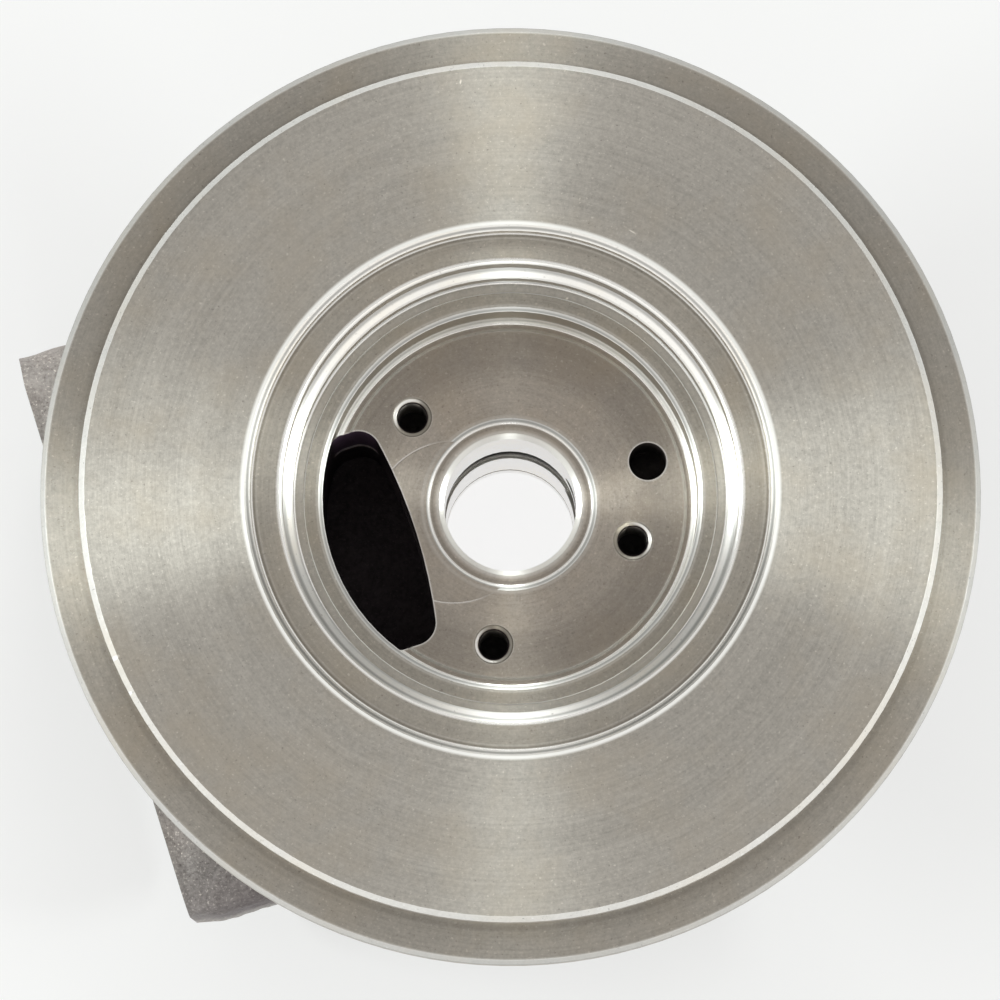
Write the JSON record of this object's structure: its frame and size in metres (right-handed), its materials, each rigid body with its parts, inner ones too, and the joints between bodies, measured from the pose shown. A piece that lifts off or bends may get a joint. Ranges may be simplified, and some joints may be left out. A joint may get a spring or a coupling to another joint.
{
  "type": "turbo bearing housing",
  "caption": "Cast bearing housing of a turbocharger with an integral compressor backplate, stepped machined recess, journal bore and side oil drain flange.",
  "frame": {"origin": "on the shaft axis, at the seating face of the turbine flange, where the turbine pilot starts", "axes": "+Z along the shaft axis, towards the compressor face; the oil drain leaves sideways at 197.4 degrees from +X, counted towards +Y, and the oil inlet opposite to it"},
  "size_m": [0.1097, 0.1056, 0.066],
  "materials": {
    "machined_iron": "turned faces with fine circular marks, sand cast elsewhere"
  },
  "bodies": {
    "root": {"bearing_housing": "machined_iron"}
  },
  "joints": []
}
